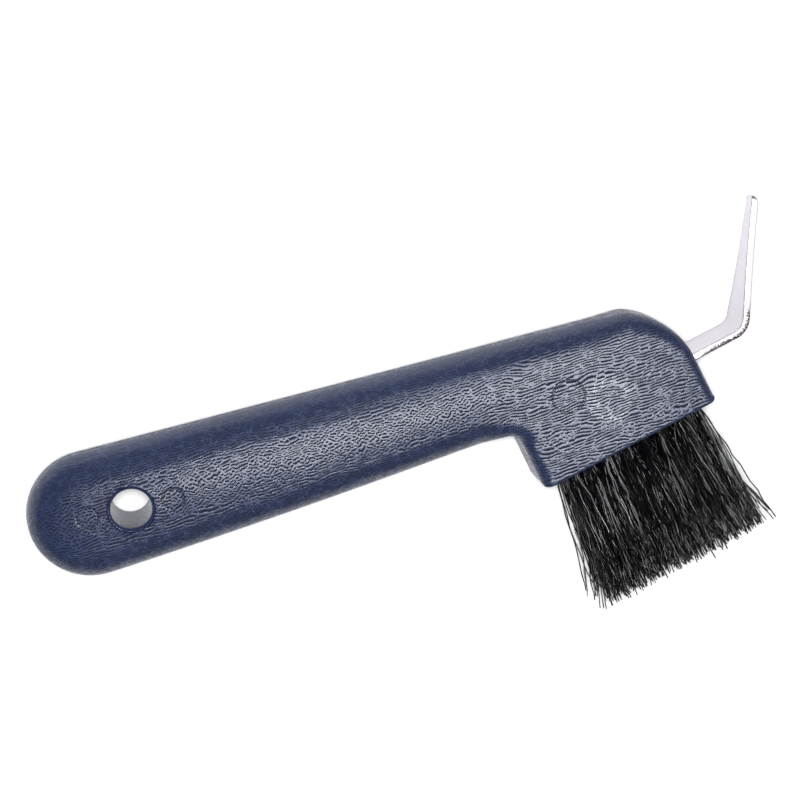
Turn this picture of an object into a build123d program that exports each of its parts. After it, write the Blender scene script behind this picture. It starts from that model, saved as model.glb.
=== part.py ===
from build123d import *
import math
import os

# Hoof pick with brush, lying on its broad side.  +X runs along the grip to the head and hook,
# +Y is the side the hook's tip points to, +Z is up through the thickness.  Millimetres.
# The origin is the middle of the bounding box on the resting plane.

# ---- placing -------------------------------------------------------------------------------
HOLE_X = -77.033          # hang hole's axis, from the origin
HOLE_Y = 18.25

# ---- handle: one moulding, grip and head ---------------------------------------------------
THICK = 18.0             # thickness of grip and head
MID = THICK / 2
BUTT_R = 16.45           # rounded butt, in plan
BUTT_X = -10.6           # its centre, from the hang hole
BUTT_Y = -0.05
TOP_SLOPE = -2.44        # straight back of the grip and head, degrees
BELLY_START = 0.8        # grip's underside where it leaves the butt, degrees
BELLY_END = (112.0, -11.7)
GRIP_END_X = 124.0       # the grip bar runs on inside the head to here
GRIP_EDGE_R = 8.4        # full rounding of the grip's edges and the head's back
BRUSH_ANGLE = 10.8       # brush face, step, end face and hook shank share this angle
FACE_CORNER = (105.05, -28.85)   # corner of the brush face and the step
FACE_LEN = 51.8          # brush face, step to end
END_DRAFT = 2.2          # end face leans back this much, degrees
HEAD_EDGE_R = 2.6        # rounding of the step and end edges
FACE_EDGE_R = 0.8        # corners of the brush face
THROAT_R = 3.0           # throat between grip and step
HANG_R = 5.3             # hang hole
HANG_LIP = 0.8           # rounded lip of the hang hole
CORNER_FROM_X = 138.5    # where the head's back turns down to the end
CORNER_DOWN_TO = 13.6    # where the turn meets the end face, from the brush face

# ---- brush ---------------------------------------------------------------------------------
TUFT_HOLE_R = 1.8
TUFT_HOLE_DEPTH = 8.0
ROW_PITCH = 5.2          # between the three rows, through the thickness
TUFT_PITCH = 5.4         # along a row
FIRST_TUFT = 8.0         # first hole from the step, along the brush face
TUFT_LEN = 38.6          # free length of the bristles, from the brush face
TIP_PITCH = 6.62         # spacing of the tuft ends along a row
TIP_FIRST = 4.3          # first tuft's end from the step, along the brush face
TIP_ROW_PITCH = 5.75
TIP_A = 3.24             # half size of a tuft's end along the row
TIP_B = 2.82             # half size of a tuft's end through the thickness
FRONT, MIDDLE = 8, 7     # tufts in an outer row and in the middle row

# ---- tuft anchors: flat wire across the bottom of each hole ---------------------------------
ANCHOR_LEN = 4.4
ANCHOR_WIDE = 1.8
ANCHOR_THICK = 0.45
ANCHOR_UP = 1.2          # clear of the hole's bottom

# ---- hook: one bent steel strip ------------------------------------------------------------
STRIP_T = 2.0            # thickness
STRIP_W = 12.2           # width of shank and tang
SHANK_INNER = (161.2, -4.1)      # a point of the shank's inner face, from the hang hole
SHANK_TO_BEND = 6.6      # from there to the inner corner of the bend
TANG_IN = 43.0           # from that point back to the end of the tang, inside the head
BEND = 59.4              # turn of the strip, degrees
BEND_R = 4.0             # inside radius
BLADE_LEN = 35.0         # inner corner of the bend to the tip
TIP_W = 4.2              # width at the tip
BLADE_MID_W = 7.0        # width half way along the blade
TIP_CHAMFER = 0.8
TANG_HOLE_R = 2.5        # locking holes, filled by the moulding
TANG_NOTCH = 1.6         # side notches of the tang


def at(x, y):
    """A point given from the hang hole, in the part's frame."""
    return (HOLE_X + x, HOLE_Y + y)


ca, sa = math.cos(math.radians(BRUSH_ANGLE)), math.sin(math.radians(BRUSH_ANGLE))


def on_face(u, n):
    """u along the brush face from the step, n out of the face, from the hang hole."""
    return (FACE_CORNER[0] + u * ca + n * sa, FACE_CORNER[1] + u * sa - n * ca)


# Points of the straight back: tangent to the butt, then down the slope.
ts = math.radians(TOP_SLOPE)
back_start = (BUTT_X - BUTT_R * math.sin(ts), BUTT_Y + BUTT_R * math.cos(ts))


def back_at(x):
    return (x, back_start[1] + (x - back_start[0]) * math.tan(ts))


bs = math.radians(BELLY_START)
belly_start = (BUTT_X + BUTT_R * math.sin(bs), BUTT_Y - BUTT_R * math.cos(bs))

# ---- hook ----------------------------------------------------------------------------------
shank_dir = (ca, sa)
corner = (SHANK_INNER[0] + SHANK_TO_BEND * ca, SHANK_INNER[1] + SHANK_TO_BEND * sa)
blade_angle = math.radians(BRUSH_ANGLE + BEND)
blade_dir = (math.cos(blade_angle), math.sin(blade_angle))
tang_end = (SHANK_INNER[0] - TANG_IN * ca, SHANK_INNER[1] - TANG_IN * sa)
tip_point = (corner[0] + BLADE_LEN * blade_dir[0], corner[1] + BLADE_LEN * blade_dir[1])
half = math.radians(BEND / 2)
out_corner = (
    corner[0] + STRIP_T * (sa + (1 - math.cos(2 * half)) / math.sin(2 * half) * ca),
    corner[1] + STRIP_T * (-ca + (1 - math.cos(2 * half)) / math.sin(2 * half) * sa),
)
tang_out = (tang_end[0] + STRIP_T * sa, tang_end[1] - STRIP_T * ca)
tip_out = (tip_point[0] + STRIP_T * blade_dir[1], tip_point[1] - STRIP_T * blade_dir[0])

with BuildPart() as hook:
    # The strip's edge view, full width, then the width is trimmed.
    with BuildSketch(Plane.XY.offset(MID - STRIP_W / 2)):
        with BuildLine():
            Polyline(
                at(*tang_end), at(*corner), at(*tip_point), at(*tip_out), at(*out_corner), at(*tang_out),
                close=True,
            )
        make_face()
    extrude(amount=STRIP_W)
    bend_edges = hook.edges().filter_by(Axis.Z)
    inner = bend_edges.sort_by_distance(Vector(*at(*corner), MID))[0]
    outer = bend_edges.sort_by_distance(Vector(*at(*out_corner), MID))[0]
    fillet(inner, BEND_R)
    fillet(outer, BEND_R + STRIP_T)
    # Taper of the blade, from the bend to the tip, seen square to the blade's face.
    blade_plane = Plane(
        origin=(*at(*corner), MID),
        x_dir=(blade_dir[0], blade_dir[1], 0),
        z_dir=(blade_dir[1], -blade_dir[0], 0),
    )
    with BuildSketch(blade_plane.offset(-6)):
        for side in (1, -1):
            with BuildLine():
                ThreePointArc(
                    (3.0, side * STRIP_W / 2),
                    (BLADE_LEN / 2, side * BLADE_MID_W / 2),
                    (BLADE_LEN - TIP_CHAMFER, side * TIP_W / 2),
                )
                Polyline(
                    (BLADE_LEN - TIP_CHAMFER, side * TIP_W / 2),
                    (BLADE_LEN + 0.01, side * (TIP_W / 2 - TIP_CHAMFER)),
                    (BLADE_LEN + 4, side * (TIP_W / 2 - TIP_CHAMFER)),
                    (BLADE_LEN + 4, side * (STRIP_W / 2 + 4)),
                    (3.0, side * (STRIP_W / 2 + 4)),
                    (3.0, side * STRIP_W / 2),
                )
            make_face()
    extrude(amount=12, mode=Mode.SUBTRACT)
    # The tip is ground to a short bevel on its outer face.
    tip_edge = (
        hook.edges()
        .filter_by(Axis.Z)
        .sort_by_distance(Vector(*at(*tip_out), MID))[0]
    )
    chamfer(tip_edge, 0.9)
    # Locking holes and notches of the hidden tang.
    tang_plane = Plane(
        origin=(*at(*tang_end), MID), x_dir=(ca, sa, 0), z_dir=(sa, -ca, 0)
    )
    with BuildSketch(tang_plane.offset(-2)):
        with Locations((8.0, 0), (21.0, 0)):
            Circle(TANG_HOLE_R)
        with Locations((14.5, STRIP_W / 2), (14.5, -STRIP_W / 2)):
            Circle(TANG_NOTCH)
    extrude(amount=6, mode=Mode.SUBTRACT)
hook.part.label = "hook"

# ---- brush holes, anchors and tufts --------------------------------------------------------
u_front = [FIRST_TUFT + i * TUFT_PITCH for i in range(FRONT)]
u_middle = [FIRST_TUFT + (i + 0.5) * TUFT_PITCH for i in range(MIDDLE)]
rows = [
    ("front", u_front, 1, [TIP_FIRST + i * TIP_PITCH for i in range(FRONT)]),
    ("middle", u_middle, 0, [TIP_FIRST + (i + 0.5) * TIP_PITCH for i in range(MIDDLE)]),
    ("back", u_front, -1, [TIP_FIRST + i * TIP_PITCH for i in range(FRONT)]),
]
holes = [
    (f"{name}_{i + 1}", u, tip, side)
    for name, us, side, tips in rows
    for i, (u, tip) in enumerate(zip(us, tips))
]


def face_plane(u, z, n=0.0, tilt=0.0):
    """Plane at the brush face, its normal out of the head, its x along the face."""
    x, y = on_face(u, n)
    return Plane(origin=(*at(x, y), z), x_dir=(ca, sa, 0), z_dir=(sa, -ca, 0))


with BuildPart() as tuft_anchors:
    for _, u, _, side in holes:
        with BuildSketch(face_plane(u, MID + side * ROW_PITCH, -TUFT_HOLE_DEPTH + ANCHOR_UP)):
            Rectangle(ANCHOR_LEN, ANCHOR_THICK)
        extrude(amount=ANCHOR_WIDE)
tuft_anchors.part.label = "tuft_anchors"

# ---- handle --------------------------------------------------------------------------------
with BuildPart() as head_block:
    # Section across the head: rounded back, flat sides, open-ended downwards.
    x0, y0 = back_at(90.0)
    with BuildSketch(
        Plane(
            origin=(*at(x0, y0), MID),
            x_dir=(-math.sin(ts), math.cos(ts), 0),
            z_dir=(math.cos(ts), math.sin(ts), 0),
        )
    ) as section:
        with Locations((-30, 0)):
            Rectangle(60, THICK)
        fillet(section.vertices().group_by(Axis.X)[-1], GRIP_EDGE_R)
    extrude(amount=80)
    # Plan outline of the head.
    step_top = on_face(0, -45)
    end_top = on_face(FACE_LEN - CORNER_DOWN_TO * math.tan(math.radians(END_DRAFT)), -CORNER_DOWN_TO)
    with BuildSketch() as plan:
        with BuildLine():
            Polyline(
                at(*back_at(CORNER_FROM_X)),
                at(CORNER_FROM_X - 2, 30),
                at(step_top[0], 30),
                at(*step_top),
                at(*on_face(0, 0)),
                at(*on_face(FACE_LEN, 0)),
                at(*end_top),
            )
            TangentArc(
                at(*end_top),
                at(*back_at(CORNER_FROM_X)),
                tangent=(end_top[0] - on_face(FACE_LEN, 0)[0], end_top[1] - on_face(FACE_LEN, 0)[1]),
            )
        make_face()
    extrude(amount=THICK, mode=Mode.INTERSECT)

    # Rounded step and end, all round their faces, then a small radius on the brush face.
    step_edge = head_block.edges().sort_by_distance(Vector(*at(*on_face(0, -8)), THICK))[0]
    fillet(step_edge, HEAD_EDGE_R)
    end_edge = head_block.edges().sort_by_distance(Vector(*at(*on_face(FACE_LEN, -8)), THICK))[0]
    fillet(end_edge, HEAD_EDGE_R)
    brush_face = head_block.faces().sort_by(Axis((0, 0, 0), (sa, -ca, 0)))[-1]
    fillet(brush_face.edges(), FACE_EDGE_R)

with BuildPart() as handle:
    # Grip bar: straight back, round butt, slightly bellied underside, fully rounded edges.
    with BuildSketch():
        with BuildLine():
            back = Line(at(GRIP_END_X, -12.5), at(GRIP_END_X, back_at(GRIP_END_X)[1]))
            Line(at(*back_at(GRIP_END_X)), at(*back_start))
            ThreePointArc(at(*back_start), at(BUTT_X - BUTT_R, BUTT_Y), at(*belly_start))
            belly = TangentArc(at(*belly_start), at(*BELLY_END), tangent=(math.cos(bs), math.sin(bs)))
            Line(at(*BELLY_END), at(GRIP_END_X, -12.5))
        make_face()
    extrude(amount=THICK)
    long_edges = [
        e
        for e in handle.edges()
        if abs((e % 0.5).Z) < 0.5 and (e @ 0.5).X < HOLE_X + BELLY_END[0] - 1
    ]
    fillet(long_edges, GRIP_EDGE_R)
    # The head joins the grip; its rounded back continues the grip's.
    add(head_block.part)
    # Concave radius at the throat, where the grip's underside meets the step.
    throat = handle.edges().sort_by_distance(Vector(*at(*on_face(0, -15.2)), MID))[0]
    fillet(throat, THROAT_R)
    # Hang hole with a rounded lip.
    with BuildSketch(Plane(origin=(*at(0, 0), 0))):
        Circle(HANG_R)
    extrude(amount=THICK, mode=Mode.SUBTRACT)
    hang_rims = (
        handle.edges()
        .filter_by(GeomType.CIRCLE)
        .filter_by(lambda e: abs(e.radius - HANG_R) < 1e-4 and e.arc_center.X < HOLE_X + 1)
    )
    fillet(hang_rims, HANG_LIP)
    # Blind holes for the tufts.
    for _, u, _, side in holes:
        with BuildSketch(face_plane(u, MID + side * ROW_PITCH, -TUFT_HOLE_DEPTH)):
            Circle(TUFT_HOLE_R)
        extrude(amount=TUFT_HOLE_DEPTH + 1, mode=Mode.SUBTRACT)
    # The moulding closes round the tang, and the anchors bite into the holes' walls.
    add(hook.part, mode=Mode.SUBTRACT)
    add(tuft_anchors.part, mode=Mode.SUBTRACT)
handle.part.label = "handle"

tufts = []
for name, u, tip, side in holes:
    with BuildPart() as tuft:
        # Bundle in its hole, then fanned out to the trimmed end.
        with BuildSketch(face_plane(u, MID + side * ROW_PITCH, -TUFT_HOLE_DEPTH)):
            Circle(TUFT_HOLE_R)
        extrude(amount=TUFT_HOLE_DEPTH)
        with BuildSketch(face_plane(u, MID + side * ROW_PITCH)):
            Circle(TUFT_HOLE_R)
        with BuildSketch(face_plane(tip, MID + side * TIP_ROW_PITCH, TUFT_LEN)):
            Ellipse(TIP_A, TIP_B)
        loft()
        # Folded over its anchor.
        add(tuft_anchors.part, mode=Mode.SUBTRACT)
    tuft.part.label = f"tuft_{name}"
    tufts.append(tuft.part)

os.makedirs("parts", exist_ok=True)
export_step(handle.part, "parts/handle.step")
export_step(hook.part, "parts/hook.step")
export_step(tuft_anchors.part, "parts/tuft_anchors.step")
for piece in tufts:
    export_step(piece, f"parts/{piece.label}.step")

box = Compound(children=[handle.part, hook.part, tuft_anchors.part] + tufts).bounding_box()
print("box", [round(v, 3) for v in (box.min.X, box.max.X, box.min.Y, box.max.Y, box.min.Z, box.max.Z)])
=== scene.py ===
import math

import bpy
import numpy as np
from mathutils import Matrix, Vector
from mathutils.geometry import delaunay_2d_cdt


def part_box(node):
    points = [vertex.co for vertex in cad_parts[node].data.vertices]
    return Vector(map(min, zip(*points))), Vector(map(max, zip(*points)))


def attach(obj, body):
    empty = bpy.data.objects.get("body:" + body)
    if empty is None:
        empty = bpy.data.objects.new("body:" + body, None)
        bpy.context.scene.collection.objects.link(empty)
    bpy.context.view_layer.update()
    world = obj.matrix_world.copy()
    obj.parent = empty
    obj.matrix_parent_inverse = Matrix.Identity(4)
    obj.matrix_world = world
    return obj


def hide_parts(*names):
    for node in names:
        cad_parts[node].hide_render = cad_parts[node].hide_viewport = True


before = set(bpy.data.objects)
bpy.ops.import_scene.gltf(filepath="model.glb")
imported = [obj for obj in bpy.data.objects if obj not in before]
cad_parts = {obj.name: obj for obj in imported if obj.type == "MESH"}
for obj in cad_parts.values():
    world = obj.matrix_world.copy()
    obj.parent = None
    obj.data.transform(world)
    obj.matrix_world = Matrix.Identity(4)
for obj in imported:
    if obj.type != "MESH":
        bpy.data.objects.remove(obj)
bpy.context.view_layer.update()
scene = bpy.context.scene

# ------------------------------------------------------------------ frame
# Shapes are worked out in millimetres from the hang hole's axis, on the middle plane, and go to
# the row frame in metres at the end. The hole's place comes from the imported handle's box.
h_lo, h_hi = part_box("handle")
HX = h_lo.x * 1e3 + 27.05
HY = h_hi.y * 1e3 - 16.40
MID = (h_lo.z + h_hi.z) * 500.0
HALF = (h_hi.z - h_lo.z) * 500.0  # half thickness, 9


def to_m(p):
    p = np.atleast_2d(np.asarray(p, float))
    return (p + np.array([HX, HY, MID])) / 1e3


# ------------------------------------------------------------------ camera
cam_data = bpy.data.cameras.new("camera")
cam_data.sensor_width = 36.0
cam_data.lens = 76.5
cam_data.clip_start = 0.01
cam_data.clip_end = 20
cam = bpy.data.objects.new("camera", cam_data)
scene.collection.objects.link(cam)
cam_at = to_m([29.75, 118.15, 430.93])[0]
right = Vector((0.95087, -0.26012, 0.16791)).normalized()
fwd = Vector((0.10046, -0.25378, -0.96203)).normalized()
up = right.cross(fwd).normalized()
m = Matrix.Identity(4)
m.col[0][:3], m.col[1][:3], m.col[2][:3], m.col[3][:3] = right, up, -fwd, cam_at
cam.matrix_world = m
scene.camera = cam

# ------------------------------------------------------------------ helpers
rng = np.random.default_rng(20817)


def new_object(name, verts_mm, faces, smooth=True):
    me = bpy.data.meshes.new(name)
    me.from_pydata(to_m(verts_mm).tolist(), [], faces)
    me.update()
    if smooth:
        me.shade_smooth()
    o = bpy.data.objects.new(name, me)
    scene.collection.objects.link(o)
    return o


def smooth(a, b, x):
    t = np.clip((x - a) / (b - a), 0, 1)
    return t * t * (3 - 2 * t)


def noise3(p, seed):
    """Smooth value noise from 0 to 1 at points p, on a hashed lattice."""
    i = np.floor(p).astype(np.int64)
    f = p - i
    f = f * f * f * (f * (f * 6 - 15) + 10)
    out = np.zeros(len(p))
    for dx in (0, 1):
        for dy in (0, 1):
            for dz in (0, 1):
                h = (
                    (i[:, 0] + dx) * 374761393
                    + (i[:, 1] + dy) * 668265263
                    + (i[:, 2] + dz) * 2147483647
                    + seed * 974634777
                ) & 0xFFFFFFFF
                h = ((h ^ (h >> 13)) * 1274126177) & 0xFFFFFFFF
                h = ((h ^ (h >> 16)) * 2246822519) & 0xFFFFFFFF
                v = ((h ^ (h >> 15)) & 0xFFFFFF) / float(0xFFFFFF)
                w = (
                    (f[:, 0] if dx else 1 - f[:, 0])
                    * (f[:, 1] if dy else 1 - f[:, 1])
                    * (f[:, 2] if dz else 1 - f[:, 2])
                )
                out += v * w
    return out


# ------------------------------------------------------------------ outline of the handle
BUTT_R, BUTT = 16.45, np.array([-10.6, -0.05])
TS = math.radians(-2.44)
BS = math.radians(0.8)
BELLY_END = np.array([112.0, -11.7])
BR = math.radians(10.8)
CA, SA = math.cos(BR), math.sin(BR)
FACE = np.array([105.05, -28.85])
FACE_LEN, DRAFT, DOWN_TO, CORNER_X = 51.8, math.radians(2.2), 13.6, 138.5
HANG_R, LIP = 5.3, 0.8


def on_face(u, n):
    return np.array([FACE[0] + u * CA + n * SA, FACE[1] + u * SA - n * CA])


back_start = BUTT + BUTT_R * np.array([-math.sin(TS), math.cos(TS)])
belly_start = BUTT + BUTT_R * np.array([math.sin(BS), -math.cos(BS)])


def back_at(x):
    return np.array([x, back_start[1] + (x - back_start[0]) * math.tan(TS)])


def arc(c, r, a0, a1, step=0.1):
    n = max(3, int(abs(a1 - a0) * r / step))
    a = np.linspace(a0, a1, n + 1)
    return np.column_stack([c[0] + r * np.cos(a), c[1] + r * np.sin(a)])


def line(p, q, step=0.1):
    n = max(2, int(np.linalg.norm(np.subtract(q, p)) / step))
    t = np.linspace(0, 1, n + 1)[:, None]
    return np.asarray(p) * (1 - t) + np.asarray(q) * t


def round_corner(p0, p, p1, r):
    """Arc of radius r that rounds the corner p between p0 and p1."""
    a = (p0 - p) / np.linalg.norm(p0 - p)
    b = (p1 - p) / np.linalg.norm(p1 - p)
    half = math.acos(np.clip(a @ b, -1, 1)) / 2
    t = r / math.tan(half)
    c = p + (a + b) / np.linalg.norm(a + b) * r / math.sin(half)
    s, e = p + a * t, p + b * t
    a0, a1 = math.atan2(*(s - c)[::-1]), math.atan2(*(e - c)[::-1])
    while a1 - a0 > math.pi:
        a1 -= 2 * math.pi
    while a1 - a0 < -math.pi:
        a1 += 2 * math.pi
    return arc(c, r, a0, a1)


d = BELLY_END - belly_start
bn = np.array([-math.sin(BS), math.cos(BS)])
rho = d @ d / (2 * d @ bn)
belly_c = belly_start + rho * bn
THROAT_R = 3.4
lo_n, hi_n = -40.0, 0.0
for _ in range(60):
    mid_n = (lo_n + hi_n) / 2
    q = on_face(0, mid_n) - THROAT_R * np.array([CA, SA])
    if np.linalg.norm(q - belly_c) > rho + THROAT_R:
        hi_n = mid_n
    else:
        lo_n = mid_n
throat_c = on_face(0, mid_n) - THROAT_R * np.array([CA, SA])
throat_a = belly_c + (throat_c - belly_c) * rho / (rho + THROAT_R)
throat_b = on_face(0, mid_n)
end_foot = on_face(FACE_LEN, 0)
end_top = on_face(FACE_LEN - DOWN_TO * math.tan(DRAFT), -DOWN_TO)
et = (end_top - end_foot) / np.linalg.norm(end_top - end_foot)
corner_to = back_at(CORNER_X)
cd = corner_to - end_top
cn = np.array([-et[1], et[0]])
cr = cd @ cd / (2 * cd @ cn)
cc = end_top + cr * cn

a_s = math.atan2(*(belly_start - belly_c)[::-1])
a_e = math.atan2(*(throat_a - belly_c)[::-1])
segs = []
segs.append((arc(belly_c, rho, a_s, a_e), "belly"))
a0 = math.atan2(*(throat_a - throat_c)[::-1])
a1 = math.atan2(*(throat_b - throat_c)[::-1])
segs.append((arc(throat_c, THROAT_R, a0, a1), "throat"))
c1 = round_corner(throat_b, on_face(0, 0), end_foot, 1.5)
c2 = round_corner(on_face(0, 0), end_foot, end_top, 1.3)
segs.append((line(throat_b, c1[0]), "step"))
segs.append((c1, "corner1"))
segs.append((line(c1[-1], c2[0]), "brush"))
segs.append((c2, "corner2"))
segs.append((line(c2[-1], end_top), "end"))
b0 = math.atan2(*(end_top - cc)[::-1])
b1 = math.atan2(*(corner_to - cc)[::-1])
turn = arc(cc, cr, b0, b1)
k = round_corner(turn[-25], corner_to, back_at(CORNER_X - 3.0), 6.0)
cut = int(np.argmin(np.linalg.norm(turn - k[0], axis=1)))
segs.append((turn[: cut + 1], "turn"))
segs.append((k, "turn2"))
segs.append((line(k[-1], back_start), "back"))
e0 = math.atan2(*(back_start - BUTT)[::-1])
e1 = math.atan2(*(belly_start - BUTT)[::-1])
if e1 < e0:
    e1 += 2 * math.pi
segs.append((arc(BUTT, BUTT_R, e0, e1), "butt"))
fine = np.vstack([s[:-1] for s, _ in segs])
tags = sum([[t] * (len(s) - 1) for s, t in segs], [])
# edge rounding along the outline
base_r = {"belly": 7.3, "throat": 4.0, "step": 2.7, "corner1": 1.6, "brush": 0.7, "corner2": 1.4,
          "end": 2.5, "turn": 3.0, "turn2": 6.5, "back": 7.4, "butt": 7.4}
seg_len = np.linalg.norm(np.roll(fine, -1, 0) - fine, axis=1)
along = np.concatenate([[0], np.cumsum(seg_len)])
total = along[-1]
along = along[:-1]
r_raw = np.array([base_r[t] for t in tags])
tag_arr = np.array(tags)
# the roundings of the belly and the back die away towards the head's throat and corner
on_belly = tag_arr == "belly"
r_raw[on_belly] = 7.3 - 3.0 * smooth(91, 100, fine[on_belly, 0])
on_turn = tag_arr == "turn"
tt = np.linspace(0, 1, on_turn.sum())
r_raw[on_turn] = 2.5 + 4.3 * tt ** 1.3
on_back = tag_arr == "back"
r_raw[on_back] = 7.4 + 0.8 * smooth(84, 110, fine[on_back, 0]) - 1.4 * smooth(128, 137, fine[on_back, 0])
# resample evenly, about 0.62 mm, closer on the tight corners
weight = np.ones(len(fine))
for t in ("corner1", "corner2", "throat"):
    weight[tag_arr == t] = 2.2
warp = np.concatenate([[0], np.cumsum(seg_len * weight)])
N_OUT = int(round(warp[-1] / 0.62))
targets = np.linspace(0, warp[-1], N_OUT, endpoint=False)
src = np.interp(targets, warp, np.concatenate([along, [total]]))


def periodic(values, s):
    return np.interp(s, np.concatenate([along, [total]]), np.concatenate([values, values[:1]]))


out = np.column_stack([periodic(fine[:, 0], src), periodic(fine[:, 1], src)])
r_fine = np.convolve(np.concatenate([r_raw[-60:], r_raw, r_raw[:60]]), np.hanning(25) / np.hanning(25).sum(), "same")[60:-60]
out_r = periodic(r_fine, src)
tan_ = np.roll(out, -1, 0) - np.roll(out, 1, 0)
tan_ /= np.linalg.norm(tan_, axis=1)[:, None]
inward = np.column_stack([-tan_[:, 1], tan_[:, 0]])
tag_out = tag_arr[np.clip(np.searchsorted(along, src, side="right") - 1, 0, len(tag_arr) - 1)]
seg_a, seg_b = out, np.roll(out, -1, 0)
seg_ra, seg_rb = out_r, np.roll(out_r, -1)


def profile(dist, r):
    k = np.clip(dist, 0, r)
    return HALF - r + np.sqrt(np.maximum(r * r - (r - k) ** 2, 0))


def surface(p):
    """Distance to the outline and half thickness of the handle at plan points p."""
    dist = np.empty(len(p))
    half = np.empty(len(p))
    ab = seg_b - seg_a
    l2 = (ab**2).sum(1)
    for s in range(0, len(p), 1500):
        q = p[s : s + 1500, None, :]
        t = np.clip(((q - seg_a) * ab).sum(2) / l2, 0, 1)
        near = seg_a + t[..., None] * ab
        dd = np.sqrt(((q - near) ** 2).sum(2))
        rr = seg_ra + t * (seg_rb - seg_ra)
        dist[s : s + 1500] = dd.min(1)
        half[s : s + 1500] = profile(dd, rr).min(1)
    return dist, half


def belly_y(x):
    return belly_c[1] - np.sqrt(np.maximum(rho**2 - (x - belly_c[0]) ** 2, 0))


def crown(p, dist):
    """The grip's gentle crown, which dies out towards the flat head."""
    x = np.clip(p[:, 0], BUTT[0], 130)
    top = back_start[1] + (x - back_start[0]) * math.tan(TS)
    a = (top - belly_y(x)) / 2
    amount = 1.2 * (1 - smooth(84, 110, p[:, 0]))
    return amount * np.clip(1 - dist / a, 0, 1) ** 2


# ------------------------------------------------------------------ plan points
ARC_STEP, GX, GY = 0.27, 0.74, 0.255
ring_pts = []
for i in range(N_OUT):
    n_k = max(2, int(round(out_r[i] * math.pi / 2 / ARC_STEP)))
    th = (np.arange(1, n_k + 1) / n_k) * math.pi / 2
    ds = out_r[i] * (1 - np.cos(th))
    if i % 2:  # stagger the rings of neighbouring columns
        ds = out_r[i] * (1 - np.cos((np.arange(1, n_k + 1) - 0.5) / n_k * math.pi / 2))
        ds[0] = max(ds[0], 0.012)
    ring_pts.append(out[i] + ds[:, None] * inward[i])
ring_i = np.concatenate([np.full(len(p), i) for i, p in enumerate(ring_pts)])
ring = np.vstack(ring_pts)
ring_own = np.linalg.norm(ring - out[ring_i], axis=1)
ring_dist, ring_half = surface(ring)
ok = ring_dist > ring_own - 0.03 - 0.02 * ring_own
ring, ring_dist, ring_half = ring[ok], ring_dist[ok], ring_half[ok]

gx = np.arange(out[:, 0].min(), out[:, 0].max(), GX)
gy = np.arange(out[:, 1].min(), out[:, 1].max(), GY)
GXX, GYY = np.meshgrid(gx, gy)
GXX = GXX + (np.arange(len(gy)) % 2)[:, None] * GX / 2
grid = np.column_stack([GXX.ravel(), GYY.ravel()])


def inside(p):
    cnt = np.zeros(len(p), int)
    for s in range(0, len(p), 4000):
        q = p[s : s + 4000]
        y = q[:, 1][:, None]
        cond = (seg_a[:, 1] > y) != (seg_b[:, 1] > y)
        with np.errstate(divide="ignore", invalid="ignore"):
            xi = seg_a[:, 0] + (y - seg_a[:, 1]) * (seg_b[:, 0] - seg_a[:, 0]) / (seg_b[:, 1] - seg_a[:, 1])
        cnt[s : s + 4000] = (cond & (q[:, 0][:, None] < xi)).sum(1)
    return cnt % 2 == 1


grid = grid[inside(grid)]
g_dist, g_half = surface(grid)
# a grid point stays where the flat or crown has begun
near_i = np.array([out_r[np.argmin(((out - q) ** 2).sum(1))] for q in grid[g_dist < 9.2]])
keep = np.ones(len(grid), bool)
keep[g_dist < 9.2] = g_dist[g_dist < 9.2] > near_i + 0.2
grid, g_dist, g_half = grid[keep], g_dist[keep], g_half[keep]

N_H = 88
ha = np.linspace(0, 2 * math.pi, N_H, endpoint=False)
hole = np.column_stack([np.cos(ha), np.sin(ha)]) * (HANG_R + LIP)
hole_rings = np.vstack([np.column_stack([np.cos(ha + (j % 2) * math.pi / N_H), np.sin(ha + (j % 2) * math.pi / N_H)]) * r
                        for j, r in enumerate((6.32, 6.55, 6.8, 7.08, 7.4))])


def clear_of_hole(p, r):
    return (p**2).sum(1) > r * r


ring_ok = clear_of_hole(ring, 7.6)
grid_ok = clear_of_hole(grid, 7.6)
plan = np.vstack([out, hole, hole_rings, ring[ring_ok], grid[grid_ok]])
SX = 2.6
pts = [Vector((float(x) / SX, float(y))) for x, y in plan]
edges = [(i, (i + 1) % N_OUT) for i in range(N_OUT)] + [(N_OUT + i, N_OUT + (i + 1) % N_H) for i in range(N_H)]
co, _, tris, orig, _, _ = delaunay_2d_cdt(pts, edges, [], 1, 1e-6)  # 1: only inside the outline
co = np.array([[v.x * SX, v.y] for v in co])
src_of = np.array([o[0] if o else -1 for o in orig])
tris = np.array([list(t) for t in tris if len(t) == 3])
area2 = np.cross(co[tris[:, 1]] - co[tris[:, 0]], co[tris[:, 2]] - co[tris[:, 0]])
tris[area2 < 0] = tris[area2 < 0][:, ::-1]
p_dist, p_half = surface(co)
p_half = p_half - crown(co, p_dist)
r_h = np.linalg.norm(co, axis=1)
p_half += 0.03 * np.exp(-(((r_h - 6.5) / 0.4) ** 2)) * (r_h < 9)

# a triangle with all its corners on the hang hole's circle lies inside the hole
on_hole = np.zeros(len(co), bool)
for vi, s_ in enumerate(orig):
    on_hole[vi] = any(N_OUT <= o < N_OUT + N_H for o in s_)
tris = tris[~on_hole[tris].all(1)]

# vertex numbers of the outline and hole loops in the triangulation
loop_out = np.full(N_OUT, -1)
loop_hole = np.full(N_H, -1)
for vi, s in enumerate(orig):
    for o in s:
        if o < N_OUT:
            loop_out[o] = vi
        elif o < N_OUT + N_H:
            loop_hole[o - N_OUT] = vi
assert (loop_out >= 0).all() and (loop_hole >= 0).all()

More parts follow.
